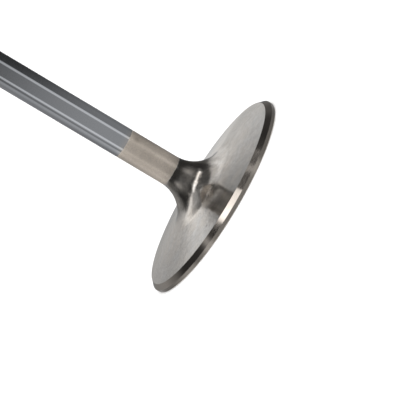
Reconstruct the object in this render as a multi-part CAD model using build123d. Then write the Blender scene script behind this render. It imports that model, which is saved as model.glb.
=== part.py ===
"""Poppet valve of a piston engine, turned and ground from one steel forging.

The valve stands on its combustion face. The origin is the centre of that face and +Z runs up
the stem to the tip. All sizes are in millimetres. The whole valve is one turned section,
worked out from the driving sizes below and revolved about Z.
"""

import os
from math import cos, radians, sin, tan

from build123d import *

# Driving sizes
HEAD_DIAMETER = 55.88  # 2.20 in
STEM_DIAMETER = 7.91  # 5/16 in nominal, ground
OVERALL_LENGTH = 128.8  # combustion face to stem tip

MARGIN_HEIGHT = 1.06  # plain rim between the combustion face and the seat
FACE_EDGE_BREAK = 0.15  # small chamfer where the margin meets the combustion face
SEAT_ANGLE = 45.0  # from the plane of the head
SEAT_RADIAL_WIDTH = 1.21  # seat width, measured along the radius

UNDERHEAD_ANGLE = 8.4  # slope of the back of the head, from the plane of the head
UNDERHEAD_RADIUS = 10.9  # outer part of the neck curve, tangent to the back of the head
NECK_RADIUS = 9.3  # inner part of the neck curve, tangent to the stem
NECK_SHARE = 40.0  # degrees that the neck curve turns on its inner radius

GROOVE_FROM_TIP = 5.1  # stem tip to the near side of the keeper groove
GROOVE_WIDTH = 1.6
GROOVE_DIAMETER = 6.3  # at the bottom of the groove
GROOVE_ROOT_RADIUS = 0.35  # both inner corners of the groove
GROOVE_EDGE_BREAK = 0.12  # both outer edges of the groove
TIP_CHAMFER = 0.7  # 45 degrees

# Sizes that follow
HEAD_RADIUS = HEAD_DIAMETER / 2
STEM_RADIUS = STEM_DIAMETER / 2
SEAT_TOP_RADIUS = HEAD_RADIUS - SEAT_RADIAL_WIDTH
SEAT_TOP_HEIGHT = MARGIN_HEIGHT + SEAT_RADIAL_WIDTH * tan(radians(SEAT_ANGLE))
NECK_TURN = 90.0 - UNDERHEAD_ANGLE  # degrees from the stem round to the back of the head


def neck_top():
    """Height where the stem ends and the neck curve starts.

    It is set so that the two tangent arcs of the neck run out exactly on the cone of the
    back of the head, which rises inwards from the top of the seat.
    """
    share, turn = radians(NECK_SHARE), radians(NECK_TURN)
    reach = NECK_RADIUS * (1 - cos(share)) + UNDERHEAD_RADIUS * (cos(share) - cos(turn))
    drop = NECK_RADIUS * sin(share) + UNDERHEAD_RADIUS * (sin(turn) - sin(share))
    run_out = SEAT_TOP_RADIUS - (STEM_RADIUS + reach)
    return SEAT_TOP_HEIGHT + run_out * tan(radians(UNDERHEAD_ANGLE)) + drop


def head_edge():
    """Combustion face, edge break, margin and seat, from the axis out to the top of the seat."""
    return Polyline(
        (0, 0),
        (HEAD_RADIUS - FACE_EDGE_BREAK, 0),
        (HEAD_RADIUS, FACE_EDGE_BREAK),
        (HEAD_RADIUS, MARGIN_HEIGHT),
        (SEAT_TOP_RADIUS, SEAT_TOP_HEIGHT),
    )


def neck_curve():
    """The two tangent arcs from the stem, and the cone of the back of the head."""
    inner = JernArc(
        start=(STEM_RADIUS, neck_top()),
        tangent=(0, -1),
        radius=NECK_RADIUS,
        arc_size=NECK_SHARE,
    )
    outer = JernArc(
        start=inner @ 1,
        tangent=inner % 1,
        radius=UNDERHEAD_RADIUS,
        arc_size=NECK_TURN - NECK_SHARE,
    )
    Line(outer @ 1, (SEAT_TOP_RADIUS, SEAT_TOP_HEIGHT))
    return inner


def keeper_groove():
    """The groove that the split keepers grip, with rounded inner corners and broken edges."""
    top = OVERALL_LENGTH - GROOVE_FROM_TIP
    bottom = top - GROOVE_WIDTH
    root = GROOVE_DIAMETER / 2
    lip = STEM_RADIUS - GROOVE_EDGE_BREAK
    lower_edge = Line((STEM_RADIUS, bottom - GROOVE_EDGE_BREAK), (lip, bottom))
    FilletPolyline(
        (lip, bottom), (root, bottom), (root, top), (lip, top), radius=GROOVE_ROOT_RADIUS
    )
    upper_edge = Line((lip, top), (STEM_RADIUS, top + GROOVE_EDGE_BREAK))
    return lower_edge @ 0, upper_edge @ 1


def stem_tip(groove_end):
    """The short land above the groove, the tip chamfer and the flat tip, in to the axis."""
    return Polyline(
        groove_end,
        (STEM_RADIUS, OVERALL_LENGTH - TIP_CHAMFER),
        (STEM_RADIUS - TIP_CHAMFER, OVERALL_LENGTH),
        (0, OVERALL_LENGTH),
    )


def valve():
    """The half section in the XZ plane, closed along the axis and revolved about it."""
    with BuildPart() as turned:
        with BuildSketch(Plane.XZ):
            with BuildLine():
                head_edge()
                neck = neck_curve()
                groove_start, groove_end = keeper_groove()
                Line(neck @ 0, groove_start)
                stem_tip(groove_end)
                Line((0, OVERALL_LENGTH), (0, 0))
            make_face()
        revolve(axis=Axis.Z)
    return turned.part


os.makedirs("parts", exist_ok=True)
export_step(valve(), "parts/valve.step")
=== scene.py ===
"""Engine valve: the looks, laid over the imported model.

The valve stands on its combustion face at the origin, with the stem up +Z. Its own sizes and places are in
millimetres here, and Blender's are in metres. Azimuth is 0 on the camera's side (-Y) and grows towards +X.
"""

from math import cos, pi, radians, sin, tan

import bpy
import numpy as np
from mathutils import Matrix, Vector


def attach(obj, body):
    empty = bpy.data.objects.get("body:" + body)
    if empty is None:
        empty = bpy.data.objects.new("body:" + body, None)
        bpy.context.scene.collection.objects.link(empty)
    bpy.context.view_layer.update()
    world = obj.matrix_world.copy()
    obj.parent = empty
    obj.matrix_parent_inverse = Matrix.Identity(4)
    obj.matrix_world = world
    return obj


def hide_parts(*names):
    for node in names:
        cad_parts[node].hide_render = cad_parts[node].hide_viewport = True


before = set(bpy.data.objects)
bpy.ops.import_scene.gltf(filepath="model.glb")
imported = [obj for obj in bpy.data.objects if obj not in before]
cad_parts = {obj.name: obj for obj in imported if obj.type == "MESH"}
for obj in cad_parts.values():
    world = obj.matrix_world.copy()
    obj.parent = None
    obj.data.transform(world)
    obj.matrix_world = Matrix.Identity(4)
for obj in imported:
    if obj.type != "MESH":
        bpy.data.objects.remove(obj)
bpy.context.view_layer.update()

MM = 0.001
DEGREES = 180 / pi

# Sizes of the turned section, as the model has them
HEAD_RADIUS = 27.94
STEM_RADIUS = 3.955
LENGTH = 128.8
FACE_EDGE_BREAK = 0.15
MARGIN_HEIGHT = 1.06
SEAT_WIDTH = 1.21  # along the radius; the seat is at 45 degrees
UNDERHEAD_SLOPE = radians(8.4)
NECK_RADIUS = 9.3  # of the arc next to the stem
UNDERHEAD_RADIUS = 10.9  # of the arc next to the head
NECK_SHARE = radians(40)  # turn of the arc next to the stem
NECK_TURN = pi / 2 - UNDERHEAD_SLOPE  # turn of the two arcs together
GROOVE_TOP, GROOVE_WIDTH, GROOVE_RADIUS = 123.7, 1.6, 3.15
GROOVE_ROOT_RADIUS = 0.35
GROOVE_EDGE_BREAK = 0.12
TIP_CHAMFER = 0.7

# The hard plating of the stem, which is part of its finish
PLATING_END = 27.5  # height where it stops
PLATING_THICKNESS = 0.012
PLATING_RAMP = 0.1  # half the height of the step at its end
BARE_RAMP = 0.6  # height over which the stem thins by as much, just above the neck

AROUND = 256  # points round each ring
CORNER = radians(12)  # a turn of the section that stays sharp

# Where the finishes of the outer surface change, and where its painted shade and light change: heights, or
# distances from the axis
BACK_TOP, NECK_FOOT = 4.0, 7.5  # the back passes into the neck between these
BARE_END = 13.35  # the bare stem passes into the polished neck
PLATING_EDGE, BARE_EDGE = 0.06, 0.15  # half the height of these two changes
# painted shade: where the back's colour starts and ends darkening towards the rim
RIM_SHADE_START, RIM_SHADE_FULL = 12, 27
# painted light: the bare stem is brighter below the first height and darker above the second
BARE_PAINTED_LIGHT_TOP, BARE_PAINTED_SHADE_FOOT = 14, 23
DULL_NECK = (9.2, 11.2, 1.2)  # from, to and softness of a duller belt halfway up the neck

# Single marks, each at (x, y, z) with its size
STAIN, STAIN_SIZE = (-3.9, -2.0, 12.4), 1.3
SMUDGE, SMUDGE_SIZE = (2.3, -3.2, 25.6), 0.9
PIT, PIT_SIZE = (-7.2, -21.5, 2.87), 0.35

# Colours
NECK_COLOUR = (0.500, 0.479, 0.458)
BACK_COLOUR = (0.610, 0.590, 0.570)
# painted shade: a darker colour of the back towards the rim, in place of a curve of its surface
PAINTED_RIM_SHADE_COLOUR = (0.480, 0.476, 0.472)
# painted shade: the back darker again towards the rim on the -Y side, the camera's side
NEAR_SIDE_SHADE_COLOUR = (0.430, 0.426, 0.422)
BARE_COLOUR = (0.850, 0.774, 0.691)
PLATED_COLOUR = (0.500, 0.504, 0.508)
SMUDGE_COLOUR = (0.250, 0.200, 0.158)
PIT_COLOUR = (0.12, 0.11, 0.10)
COOLER, WARMER = (0.975, 1.0, 1.03), (1.025, 1.0, 0.97)  # how far the colour of the head wanders
SEAT_COLOUR = (0.525, 0.487, 0.454)
MARGIN_COLOUR = (0.317, 0.292, 0.263)
FACE_COLOUR = (0.467, 0.450, 0.433)
GROOVE_COLOUR = (0.458, 0.450, 0.433)
TIP_COLOUR = (0.483, 0.475, 0.467)

NOISE_ROUGHNESS = 0.6
NOISE_GAIN = 4.5  # Blender's noise keeps within about 0.2 of its middle
STRETCH, STRETCH_TURN = 0.5, 0.25  # how far and which way the highlights are drawn out

# The studio, by direction
STUDIO_LEVEL = 1.2
DARK_LEVEL = 0.033  # where no panel is
HOOP_LEVEL = 2.0
HOOP_MIDDLE = (0.10, 0.25)  # x and y of its direction
LAMP_LEVEL = 1.36
SPOT_LEVEL = 0.35
WARM_TONE, COOL_TONE = (1.025, 1.0, 0.965), (0.97, 0.995, 1.045)

# The floor, in metres
FLOOR_RADIUS = 2.5
FLOOR_DROP = 0.00002  # below the combustion face


# ---------------------------------------------------------------- the turned surface
def line(start, end, steps):
    """Points from start to end at equal steps: start + t (end - start), t from 0 to 1."""
    t = np.linspace(0, 1, steps + 1)[:, None]
    return np.array(start) + t * (np.array(end) - np.array(start))


def arc(centre, radius, first, last, steps):
    """Points centre + radius (cos a, sin a), with a running evenly from first to last."""
    a = np.linspace(first, last, steps + 1)
    return np.array(centre) + radius * np.stack([np.cos(a), np.sin(a)], axis=1)


def valve_section():
    """The half section as runs of (radius, height) points, each with its finish.

    From the axis up: combustion face, edge break, margin, 45 degree seat, straight back of the head,
    two tangent arcs of the neck (10.9 then 9.3 mm), bare stem, plated stem, keeper groove, tip. The
    last number of a run is how many steps it has.
    """
    seat_top = (HEAD_RADIUS - SEAT_WIDTH, MARGIN_HEIGHT + SEAT_WIDTH)
    reach = NECK_RADIUS * (1 - cos(NECK_SHARE)) + UNDERHEAD_RADIUS * (cos(NECK_SHARE) - cos(NECK_TURN))
    drop = NECK_RADIUS * sin(NECK_SHARE) + UNDERHEAD_RADIUS * (sin(NECK_TURN) - sin(NECK_SHARE))
    foot_radius = STEM_RADIUS + reach
    foot_height = seat_top[1] + (seat_top[0] - foot_radius) * tan(UNDERHEAD_SLOPE)
    neck_top = foot_height + drop
    inner_centre = (STEM_RADIUS + NECK_RADIUS, neck_top)
    shift = UNDERHEAD_RADIUS - NECK_RADIUS  # the outer arc's centre lies further out on the shared radius
    outer_centre = (inner_centre[0] + shift * cos(NECK_SHARE), inner_centre[1] + shift * sin(NECK_SHARE))
    bare = STEM_RADIUS - PLATING_THICKNESS
    step_foot, step_top = PLATING_END - PLATING_RAMP, PLATING_END + PLATING_RAMP
    low, high = GROOVE_TOP - GROOVE_WIDTH, GROOVE_TOP
    root, edge = GROOVE_ROOT_RADIUS, GROOVE_EDGE_BREAK
    tip = STEM_RADIUS - TIP_CHAMFER
    return [
        ("combustion face", line((0, 0), (HEAD_RADIUS - FACE_EDGE_BREAK, 0), 40)),
        ("margin", line((HEAD_RADIUS - FACE_EDGE_BREAK, 0), (HEAD_RADIUS, FACE_EDGE_BREAK), 1)),
        ("margin", line((HEAD_RADIUS, FACE_EDGE_BREAK), (HEAD_RADIUS, MARGIN_HEIGHT), 3)),
        ("seat", line((HEAD_RADIUS, MARGIN_HEIGHT), seat_top, 5)),
        ("neck and back", line(seat_top, (foot_radius, foot_height), 24)),
        ("neck and back", arc(outer_centre, UNDERHEAD_RADIUS, pi + NECK_TURN, pi + NECK_SHARE, 30)),
        ("neck and back", arc(inner_centre, NECK_RADIUS, pi + NECK_SHARE, pi, 36)),
        ("stem", line((STEM_RADIUS, neck_top), (bare, neck_top + BARE_RAMP), 2)),
        ("stem", line((bare, neck_top + BARE_RAMP), (bare, step_foot), 10)),
        ("stem", line((bare, step_foot), (STEM_RADIUS, step_top), 2)),
        ("stem", line((STEM_RADIUS, step_top), (STEM_RADIUS, low - edge), 60)),
        ("keeper groove", line((STEM_RADIUS, low - edge), (STEM_RADIUS - edge, low), 1)),
        ("keeper groove", line((STEM_RADIUS - edge, low), (GROOVE_RADIUS + root, low), 1)),
        ("keeper groove", arc((GROOVE_RADIUS + root, low + root), root, 1.5 * pi, pi, 8)),
        ("keeper groove", line((GROOVE_RADIUS, low + root), (GROOVE_RADIUS, high - root), 3)),
        ("keeper groove", arc((GROOVE_RADIUS + root, high - root), root, pi, pi / 2, 8)),
        ("keeper groove", line((GROOVE_RADIUS + root, high), (STEM_RADIUS - edge, high), 1)),
        ("keeper groove", line((STEM_RADIUS - edge, high), (STEM_RADIUS, high + edge), 1)),
        ("stem", line((STEM_RADIUS, high + edge), (STEM_RADIUS, LENGTH - TIP_CHAMFER), 4)),
        ("tip", line((STEM_RADIUS, LENGTH - TIP_CHAMFER), (tip, LENGTH), 2)),
        ("tip", line((tip, LENGTH), (0, LENGTH), 6)),
    ]


def turned_piece(name, runs, finishes):
    """One closed surface: each (r, z) of the section carried round Z as (r cos a, r sin a, z).

    The two ends of the section lie on the axis and are single points, closed by a fan. Edges where
    the section turns a corner are sharp, and the rest is smooth. finishes gives each kind of run the
    place of its material in the list, and the material.
    """
    points = np.vstack([runs[0][1][:1]] + [run[1:] for _, run in runs]) * MM
    finish = np.repeat([finishes[kind][0] for kind, _ in runs], [len(run) - 1 for _, run in runs])
    rings = points[1:-1]
    angle = np.arange(AROUND) * 2 * pi / AROUND
    body = np.stack([
        rings[:, :1] * np.cos(angle),
        rings[:, :1] * np.sin(angle),
        rings[:, 1:] * np.ones(AROUND),
    ], axis=2).reshape(-1, 3)
    vertices = np.vstack([body, [(0, 0, points[0, 1])], [(0, 0, points[-1, 1])]])
    bottom, top = len(body), len(body) + 1
    step = np.arange(AROUND)
    after = (step + 1) % AROUND
    row = np.arange(len(rings) - 1)[:, None] * AROUND
    quads = np.stack([row + step, row + after, row + AROUND + after, row + AROUND + step], axis=2)
    last = (len(rings) - 1) * AROUND
    faces = quads.reshape(-1, 4).tolist()
    faces += np.stack([np.full(AROUND, bottom), after, step], axis=1).tolist()
    faces += np.stack([last + step, last + after, np.full(AROUND, top)], axis=1).tolist()
    finish_of_face = np.repeat(np.append(finish[1:-1], finish[[0, -1]]), AROUND)

    mesh = bpy.data.meshes.new(name)
    mesh.from_pydata(vertices.tolist(), [], faces)
    mesh.polygons.foreach_set("use_smooth", np.ones(len(faces), bool))
    mesh.polygons.foreach_set("material_index", finish_of_face.astype(np.int32))
    mesh.update()

    # a ring's edges are sharp where the section turns a corner there
    legs = np.diff(points, axis=0)
    heading = np.unwrap(np.arctan2(legs[:, 1], legs[:, 0]))
    corner = np.abs(np.diff(heading)) > CORNER
    ends = np.empty(len(mesh.edges) * 2, np.int32)
    mesh.edges.foreach_get("vertices", ends)
    ends = ends.reshape(-1, 2)
    ring_of = ends // AROUND
    on_ring = (ring_of[:, 0] == ring_of[:, 1]) & (ends.max(axis=1) < len(body))
    sharp = np.zeros(len(ends), bool)
    sharp[on_ring] = corner[ring_of[on_ring, 0]]
    mesh.attributes.new("sharp_edge", "BOOLEAN", "EDGE").data.foreach_set("value", sharp)

    for place, material in sorted(finishes.values(), key=lambda entry: entry[0]):
        if place == len(mesh.materials):
            mesh.materials.append(material)
    piece = bpy.data.objects.new(name, mesh)
    bpy.context.scene.collection.objects.link(piece)
    return piece


# ---------------------------------------------------------------- shader maths
class Socket:
    """A socket of a node tree. Arithmetic on sockets and numbers adds Math nodes."""

    def __init__(self, tree, output=None):
        self.tree, self.output = tree, output

    def node(self, kind, settings=None, inputs=None, output=0):
        """Adds a node: its type, then its settings, then the values or links of its sockets."""
        node = self.tree.nodes.new("ShaderNode" + kind)
        for name, value in (settings or {}).items():
            setattr(node, name, value)
        for name, value in (inputs or {}).items():
            if isinstance(value, Socket):
                self.tree.links.new(value.output, node.inputs[name])
            else:
                node.inputs[name].default_value = value
        return Socket(self.tree, node.outputs[output] if len(node.outputs) else None)

    def math(self, operation, *values, clamp=False):
        return self.node("Math", {"operation": operation, "use_clamp": clamp}, dict(enumerate(values)))

    def __add__(self, other):
        return self.math("ADD", self, other)

    def __sub__(self, other):
        return self.math("SUBTRACT", self, other)

    def __rsub__(self, other):
        return self.math("SUBTRACT", other, self)

    def __mul__(self, other):
        return self.math("MULTIPLY", self, other)

    def __truediv__(self, other):
        return self.math("DIVIDE", self, other)

    def __neg__(self):
        return self.math("MULTIPLY", self, -1)

    def __pow__(self, other):
        return self.math("POWER", self, other)

    __radd__, __rmul__ = __add__, __mul__

    def clamped(self):
        return self.math("ADD", self, 0, clamp=True)

    def step(self, low, high):
        """0 below low and 1 above high, with a smooth rise between."""
        return self.node("MapRange", {"interpolation_type": "SMOOTHSTEP"}, {
            "Value": self, "From Min": low, "From Max": high})

    def fall(self, low, high):
        """1 below low and 0 above high, with a smooth fall between."""
        return 1 - self.step(low, high)

    def band(self, low, high, soft):
        """1 between low and high and 0 outside, with smooth edges as wide as soft."""
        return self.step(low - soft / 2, low + soft / 2) - self.step(high - soft / 2, high + soft / 2)

    def blend(self, low, high):
        """low where this is 0 and high where it is 1."""
        return low + (high - low) * self

    def between(self, low, high):
        """The colour low where this is 0 and the colour high where it is 1."""
        low, high = (value if isinstance(value, Socket) else (*value, 1) for value in (low, high))
        return self.node("Mix", {"data_type": "RGBA"}, {"Factor": self, 6: low, 7: high}, output=2)

    def shade(self, colour):
        """The colour made this many times as bright."""
        return self.node("VectorMath", {"operation": "SCALE"}, {0: colour, "Scale": self})

    def between_signs(self, negative, positive):
        """One value where this is negative and the other where it is positive."""
        return self.math("GREATER_THAN", self, 0).blend(negative, positive)


def tree_of(owner):
    """The empty node tree of a material or a world."""
    owner.use_nodes = True
    owner.node_tree.nodes.clear()
    return Socket(owner.node_tree)


def axes(tree, vector):
    """The x, y and z of a vector."""
    split = tree.node("SeparateXYZ", inputs={"Vector": vector})
    return [Socket(tree.tree, output) for output in split.output.node.outputs]


def glow(across, up, centre, size):
    """1 at a centre and 0 away from it: exp(-((across - centre) / size)^2 - ((up - centre) / size)^2)."""
    return across.math("EXPONENT", -((across - centre[0]) / size[0]) ** 2 - ((up - centre[1]) / size[1]) ** 2)


# ---------------------------------------------------------------- finishes
class Turned:
    """Places on a turned surface, in millimetres, and the marks that the lathe and the grinder left.

    s is the distance from the axis and z the height. along = s - z runs without a stop up the whole
    profile, from the rim over the back and the neck to the tip of the stem. round_x and round_y say
    which way the place lies from the axis.
    """

    def __init__(self, tree):
        self.tree = tree
        x, y, z = axes(tree, tree.node("TexCoord", output="Object"))
        self.x, self.y, self.z = x / MM, y / MM, z / MM
        self.s = tree.math("SQRT", self.x ** 2 + self.y ** 2)
        self.along = self.s - self.z
        above_zero = self.s.math("MAXIMUM", self.s, 0.05)
        self.round_x, self.round_y = self.x / above_zero, self.y / above_zero

    def noise(self, x, y, z, detail):
        """Noise of about -1 to 1, whose features are about 1 wide on these coordinates."""
        place = self.tree.node("CombineXYZ", inputs={"X": x, "Y": y, "Z": z})
        noise = self.tree.node("TexNoise", inputs={
            "Vector": place, "Scale": 1.0, "Detail": detail, "Roughness": NOISE_ROUGHNESS})
        return noise * NOISE_GAIN - NOISE_GAIN / 2

    def marks(self, across, around, detail=3.0, shift=0.0):
        """Noise with across features to a millimetre up the profile, and around features to a radian."""
        return self.noise(self.round_x * around + shift, self.round_y * around, self.along * across, detail)

    def clouds(self, size, detail=3.0, shift=0.0):
        """Noise in patches of about this size in millimetres."""
        return self.noise(self.x / size + shift, self.y / size, self.z / size, detail)

    def spot(self, place, size):
        """1 at a place and 0 away from it: exp(-(distance / size)^2)."""
        square = (self.x - place[0]) ** 2 + (self.y - place[1]) ** 2 + (self.z - place[2]) ** 2
        return self.tree.math("EXPONENT", -(square / size ** 2))


def steel(tree, colour, roughness, height, depth):
    """Polished or ground steel: a height of -1 to 1 stands for depth millimetres of bump."""
    normal = tree.node("Bump", inputs={"Height": height, "Strength": 1.0, "Distance": depth * MM})
    shader = tree.node("BsdfPrincipled", inputs={
        "Base Color": colour, "Metallic": 1.0, "Roughness": roughness, "Normal": normal,
        "Anisotropic": STRETCH, "Anisotropic Rotation": STRETCH_TURN,
    })
    tree.node("OutputMaterial", inputs={"Surface": shader})


def outer_steel():
    """Back of the head, neck, bare stem and hard plated stem, which run into one another."""
    material = bpy.data.materials.new("back_neck_and_stem_steel")
    tree = tree_of(material)
    on = Turned(tree)
    lines = on.marks(across=3.5, around=2.0)
    rings = on.marks(across=0.9, around=1.2, shift=7.0)
    strokes = on.marks(across=0.3, around=14.0, shift=13.0)  # of the polishing cloth, up and down the neck
    patches = on.clouds(3.2, shift=3.0)
    blotches = on.clouds(1.1, shift=11.0)
    grain = on.clouds(0.35, detail=1.0, shift=5.0)
    warmth = on.clouds(4.5, shift=21.0)

    # each finish and each painted shade: 1 on it and 0 off it
    plated = on.z.step(PLATING_END - PLATING_EDGE, PLATING_END + PLATING_EDGE)
    stained = on.spot(STAIN, STAIN_SIZE)  # here the bare finish fades out lower down
    ragged_height = on.z + 0.12 * blotches + 1.1 * stained
    bare = ragged_height.step(BARE_END - BARE_EDGE, BARE_END + BARE_EDGE + 1.2 * stained) * (1 - plated)
    back = on.z.fall(BACK_TOP, NECK_FOOT)
    # painted shade: the back darkens towards the rim, standing in for a curve of its surface
    rim = on.s.step(RIM_SHADE_START, RIM_SHADE_FULL)
    near_side_shade = rim * (-on.round_y).step(-0.1, 0.8)  # painted shade: darker still towards the rim on the -Y side, the camera's side

    neck_shade = 1 + 0.14 * patches + 0.12 * blotches + 0.10 * strokes + 0.10 * grain
    back_shade = 1 + 0.07 * patches + 0.10 * blotches + 0.04 * strokes + 0.06 * rings + 0.06 * grain
    bare_shade = 1 + 0.04 * patches + 0.045 * blotches + 0.08 * grain
    painted_light_up_stem = on.z.step(BARE_PAINTED_LIGHT_TOP, BARE_PAINTED_SHADE_FOOT).blend(1.1, 0.84)  # painted light and shade: brighter next to the neck and darker higher up the stem
    neck_colour = neck_shade.shade(NECK_COLOUR)
    # painted shade: the back's colour darkens towards the rim, and more so on the -Y side
    back_colour = back_shade.shade(near_side_shade.between(rim.between(BACK_COLOUR, PAINTED_RIM_SHADE_COLOUR), NEAR_SIDE_SHADE_COLOUR))
    # the bare stem's colour carries painted light next to the neck and painted shade higher up
    bare_colour = (bare_shade * painted_light_up_stem).shade(BARE_COLOUR)
    bare_colour = (on.spot(SMUDGE, SMUDGE_SIZE) * 0.35).between(bare_colour, SMUDGE_COLOUR)
    plated_colour = (1 + 0.02 * lines).shade(PLATED_COLOUR)
    head_colour = back.between(neck_colour, back_colour)
    head_colour = (on.spot(PIT, PIT_SIZE) * 0.6).between(head_colour, PIT_COLOUR)
    head_colour = tree.node("VectorMath", {"operation": "MULTIPLY"}, {
        0: head_colour, 1: (0.5 + 0.5 * warmth).clamped().between(COOLER, WARMER)})
    colour = plated.between(bare.between(head_colour, bare_colour), plated_colour)

    neck_roughness = 0.13 + 0.08 * on.z.band(*DULL_NECK) + 0.02 * blotches
    back_roughness = 0.16 + 0.02 * blotches
    bare_roughness = 0.45 + 0.03 * blotches
    plated_roughness = 0.08 + 0.008 * lines
    unplated_roughness = bare.blend(back.blend(neck_roughness, back_roughness), bare_roughness)
    roughness = plated.blend(unplated_roughness, plated_roughness)

    unplated_height = patches * 0.6 + blotches * 0.3 + rings * 0.25 + strokes * 0.35
    steel(tree, colour, roughness, unplated_height * (1 - plated) + lines * 0.02, depth=0.006)
    return material


def seat_steel():
    """The 45 degree seat, ground bright all the way round."""
    material = bpy.data.materials.new("ground_seat_steel")
    tree = tree_of(material)
    on = Turned(tree)
    lines = on.marks(across=5.0, around=1.5)
    patches = on.marks(across=0.8, around=6.0, shift=5.0)
    colour = (1 + 0.03 * lines + 0.03 * patches).shade(SEAT_COLOUR)
    steel(tree, colour, 0.085 + 0.01 * lines, patches * 0.5 + lines * 0.1, depth=0.0015)
    return material


def margin_steel():
    """The margin, turned, and darker and browner than the rest of the steel."""
    material = bpy.data.materials.new("turned_margin_steel")
    tree = tree_of(material)
    on = Turned(tree)
    lines = on.marks(across=4.0, around=2.0)
    patches = on.marks(across=0.8, around=8.0, shift=9.0)
    colour = (1 + 0.06 * lines + 0.06 * patches).shade(MARGIN_COLOUR)
    steel(tree, colour, 0.2 + 0.03 * lines, patches * 0.5 + lines * 0.2, depth=0.003)
    return material


def face_steel(name, colour, roughness, pitch):
    """Flat turned ends and the groove: rings of the lathe's feed, pitch of them to a millimetre."""
    material = bpy.data.materials.new(name)
    tree = tree_of(material)
    on = Turned(tree)
    lines = on.marks(across=pitch, around=1.0, detail=2.0)
    patches = on.clouds(4.0, shift=2.0)
    colour = (1 + 0.05 * lines + 0.05 * patches).shade(colour)
    roughness = roughness + 0.04 * lines + 0.02 * patches
    steel(tree, colour, roughness, lines * 0.6 + patches * 0.4, depth=0.004)
    return material


# ---------------------------------------------------------------- studio
class Directions:
    """Directions from the valve: x, y and z of length 1, and the same as angles in degrees.

    azimuth is 0 on the camera's side and back is 0 on the far side. Both are negative to the left (-X)
    and positive to the right. height is the angle above the horizon.

    Below, a band's numbers are where it starts, where it ends and how soft its edges are, and the
    number that a panel is multiplied by is its level.
    """

    def __init__(self, tree):
        self.tree = tree
        self.x, self.y, self.z = axes(tree, tree.node("TexCoord", output="Generated"))
        self.azimuth = tree.math("ARCTAN2", self.x, -self.y) * DEGREES
        self.back = tree.math("ARCTAN2", self.x, self.y) * DEGREES
        self.height = tree.math("ARCSINE", self.z) * DEGREES


def table_and_strips(to):
    """The pale table below the horizon, darker to the right, its far edge, and two strip lights."""
    azimuth, back, height = to.azimuth, to.back, to.height
    front = azimuth.band(-69, 57, 14) * 0.36 * height.fall(-9.5, -5.5)
    left_level = 0.50 - 0.27 * (-azimuth).step(98, 130)
    left = azimuth.band(-165, -73, 14) * left_level + azimuth.band(-96, -74, 10) * 0.16
    left = left * height.fall(-16.7, 2)
    right_level = 0.25 - 0.07 * azimuth.step(100, 130)
    right = azimuth.band(58, 158, 14) * right_level * height.fall(-9.5, -7.4)
    far_edge = back.band(-26, 26, 16) * 0.22 * height.fall(-13, -7)
    beyond = height.step(-50, -36)  # 0 close round the head, which shades the table there
    middle = 0.4 * (1 - beyond) + 0.78 * height.fall(-32, -12) * beyond
    strips = (azimuth.band(-56.4, -41, 4) * 0.44 + azimuth.band(42, 60, 4) * 0.39) * height.fall(-8.2, -0.6)
    return front + left + right + far_edge + middle + strips


def windows_and_walls(to):
    """Two soft windows behind the camera, the wall between them, and the walls at the sides."""
    azimuth, height = to.azimuth, to.height
    window_left = glow(azimuth, height, (-56.3, 25.3), (16, 10)) * 0.37
    window_right = glow(azimuth, height, (55.6, 30), (15, 14)) * 0.30
    wall = height.band(21.8, 60, 24) * azimuth.band(-80, 85, 50) * 0.104
    left_wall = azimuth.band(-160, -80, 30) * height.band(-6, 26, 14) * 0.105
    right_wall = azimuth.band(62, 100, 16) * height.band(14, 38, 10) * 0.05
    return window_left + window_right + wall + left_wall + right_wall


def hoop_overhead(to):
    """A hoop of light overhead, what hangs under it and the ceiling inside it.

    The hoop is an ellipse with a semi-axis for each of its four sides. reach is 1 on it, less inside it
    and more outside. turn goes round it, 0 towards the camera and negative to the left.
    """
    x, y, tree = to.x, to.y, to.tree
    dx, dy = x - HOOP_MIDDLE[0], y - HOOP_MIDDLE[1]
    wide = dx.between_signs(0.44 + 0.08 * dy.step(-0.45, -0.25), 0.57)
    deep = dy.between_signs(0.53, 0.75)
    reach = tree.math("SQRT", (dx / wide) ** 2 + (dy / deep) ** 2)
    turn = tree.math("ARCTAN2", dx, -dy) * DEGREES

    # the band of the hoop: one over its half widths, outwards and inwards, each left and right
    outer, inner = dx.between_signs(1 / 0.065, 1 / 0.075), dx.between_signs(1 / 0.13, 1 / 0.085)
    off = reach - 1
    ring = tree.math("EXPONENT", -((off * off.between_signs(inner, outer)) ** 2) ** 2)
    strength = (turn.band(-50, 75, 8) * HOOP_LEVEL
                + turn.band(-140, -50, 8) * 0.75
                + turn.band(-178, -140, 12) * 0.45)
    low_left = turn.between_signs(to.height.step(24, 38), 1.0)

    # a lamp under the hoop, with its left end cut at a slant, and three spots
    lamp = (x + (y + 0.2) * 0.8).band(-0.19, 0.4, 0.02) * x.fall(0.205, 0.225) * y.band(-0.34, -0.175, 0.02)
    spots = (glow(x, y, (0.44, -0.045), (0.045, 0.055))
             + glow(x, y, (-0.44, -0.05), (0.055, 0.055))
             + glow(x, y, (0.72, 0.20), (0.045, 0.06)))
    hoop = tree.math("MAXIMUM", ring * strength * low_left, lamp * LAMP_LEVEL + spots * SPOT_LEVEL)

    skirt = reach.fall(1.0, 1.3) * y.step(-0.05, 0.2) * (-x).step(0.3, 0.4) * 0.28
    inside = (0.05 + 0.36 * (-x).step(0.05, 0.3)
              + 0.12 * x.band(-0.2, 0.15, 0.1) * y.band(0.02, 0.18, 0.1)) * reach.fall(0.75, 1)
    return (hoop + skirt + inside) * to.z.step(0.05, 0.3)


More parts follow.
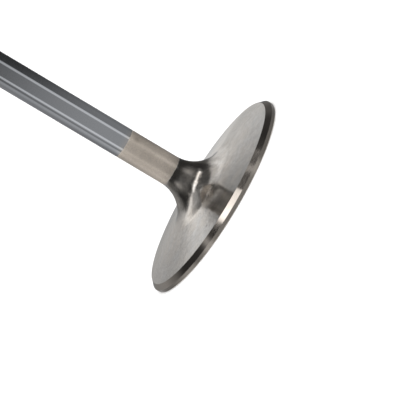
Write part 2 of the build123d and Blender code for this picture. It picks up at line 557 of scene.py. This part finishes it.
def far_side(to):
    """Panels of the far side, that narrow towards the horizon, with a dark post straight behind."""
    x, y, back, height = to.x, to.y, to.back, to.height
    past_left = (-back - height * 0.8 - 5).step(-5, 6)
    past_right = (back - height * 1.05 - 7).step(-4, 4)
    panels = back.between_signs(0.38 - 0.24 * past_left, 0.60 - 0.50 * past_right)
    panels = panels * (1 - 0.5 * back.step(14, 32)) * (1 - 0.8 * back.step(34, 44)) * back.band(-60, 60, 30)
    panels = panels * height.step(-11, -6) * height.fall(32, 44)
    left = (back.band(-20, -3, 8) * height.band(25, 46, 8) * 0.12
            + back.band(-8, 1, 6) * height.band(25.5, 33, 5) * 0.46
            + x.band(-0.3, -0.1, 0.1) * y.band(0.4, 0.75, 0.15) * 0.10)
    right = x.band(0.06, 0.47, 0.16) * y.band(0.45, 0.80, 0.12) * height.step(10, 30) * 0.5
    post_edge = (x + 0.027 + (0.88 - y) * 0.70).step(-0.009, 0.009)  # sharp, and it leans
    post = post_edge * x.fall(-0.03, 0.13) * y.step(0.3, 0.6) * height.step(-2, 6)
    return (panels + left + right) * (1 - 0.85 * post)


def studio_world():
    """Soft panels of a studio, by direction, behind a white that only the camera sees."""
    world = bpy.data.worlds.new("studio")
    bpy.context.scene.world = world
    tree = tree_of(world)
    to = Directions(tree)
    light = DARK_LEVEL + table_and_strips(to) + windows_and_walls(to) + hoop_overhead(to) + far_side(to)
    tone = to.height.band(-12, -3, 3).between(WARM_TONE, COOL_TONE)
    studio = tree.node("Background", inputs={"Color": tone, "Strength": light * STUDIO_LEVEL})
    white = tree.node("Background", inputs={"Color": (1, 1, 1, 1), "Strength": 1.0})
    camera_sees = tree.node("LightPath", output="Is Camera Ray")
    mixed = tree.node("MixShader", inputs={0: camera_sees, 1: studio, 2: white})
    tree.node("OutputWorld", inputs={"Surface": mixed})


def pale_floor():
    """A disc just under the valve: rings r (cos a, sin a) round a centre point, closest near the middle."""
    rings, around = 12, 64
    r = FLOOR_RADIUS * np.linspace(0, 1, rings + 1)[1:, None] ** 2
    a = np.arange(around) * 2 * pi / around
    level = np.full((rings, around), -FLOOR_DROP)
    body = np.stack([r * np.cos(a), r * np.sin(a), level], axis=2).reshape(-1, 3)
    vertices = np.vstack([body, [(0, 0, -FLOOR_DROP)]])
    step, after = np.arange(around), (np.arange(around) + 1) % around
    row = np.arange(rings - 1)[:, None] * around
    quads = np.stack([row + step, row + around + step, row + around + after, row + after], axis=2)
    fan = np.stack([np.full(around, len(body)), step, after], axis=1)
    mesh = bpy.data.meshes.new("floor")
    mesh.from_pydata(vertices.tolist(), [], quads.reshape(-1, 4).tolist() + fan.tolist())
    floor = bpy.data.objects.new("floor", mesh)
    bpy.context.scene.collection.objects.link(floor)
    material = bpy.data.materials.new("pale_floor")
    tree = tree_of(material)
    paint = tree.node("BsdfDiffuse", inputs={"Color": (0.8, 0.8, 0.8, 1)})
    clear = tree.node("BsdfTransparent")
    seen_from_below = tree.node("NewGeometry", output="Backfacing")
    surface = tree.node("MixShader", inputs={0: seen_from_below, 1: paint, 2: clear})
    tree.node("OutputMaterial", inputs={"Surface": surface})
    mesh.materials.append(material)
    for ray in ("diffuse", "glossy", "transmission", "shadow"):
        setattr(floor, "visible_" + ray, False)  # the studio below the horizon already stands for it

    # soft light from above that falls on the floor alone
    lamp = bpy.data.lights.new("floor_wash", "SUN")
    lamp.energy, lamp.angle = 4.0, radians(120)
    wash = bpy.data.objects.new("floor_wash", lamp)
    bpy.context.scene.collection.objects.link(wash)
    lit = bpy.data.collections.new("lit_by_floor_wash")
    lit.objects.link(floor)
    wash.light_linking.receiver_collection = lit


def camera():
    """The camera 0.71 m off on the -Y side, 12 degrees up, rolled so that the stem points up to the left."""
    data = bpy.data.cameras.new("camera")
    data.sensor_width, data.lens = 36.0, 251.4
    data.clip_start, data.clip_end = 0.01, 20
    place = Vector((0, -0.69636, 0.15143))
    forward = Vector((-0.0036, 0.978, -0.2084)).normalized()
    upright = Vector((0.8593, 0.1096, 0.4996))  # stands straight up in the view
    right = forward.cross(upright).normalized()
    up = right.cross(forward)
    view = bpy.data.objects.new("camera", data)
    view.matrix_world = Matrix.Translation(place) @ Matrix((right, up, -forward)).transposed().to_4x4()
    bpy.context.scene.collection.objects.link(view)
    bpy.context.scene.camera = view


camera()
bpy.context.scene.view_settings.view_transform = "Standard"
studio_world()
pale_floor()

outer = (3, outer_steel())
finishes = {
    "combustion face": (0, face_steel("turned_combustion_face_steel", FACE_COLOUR, roughness=0.35, pitch=2.5)),
    "margin": (1, margin_steel()),
    "seat": (2, seat_steel()),
    "neck and back": outer,
    "stem": outer,
    "keeper groove": (4, face_steel("turned_keeper_groove_steel", GROOVE_COLOUR, roughness=0.3, pitch=4.0)),
    "tip": (5, face_steel("ground_tip_steel", TIP_COLOUR, roughness=0.25, pitch=3.0)),
}
valve = turned_piece("turned_valve", valve_section(), finishes)
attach(valve, "root")
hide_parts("valve")
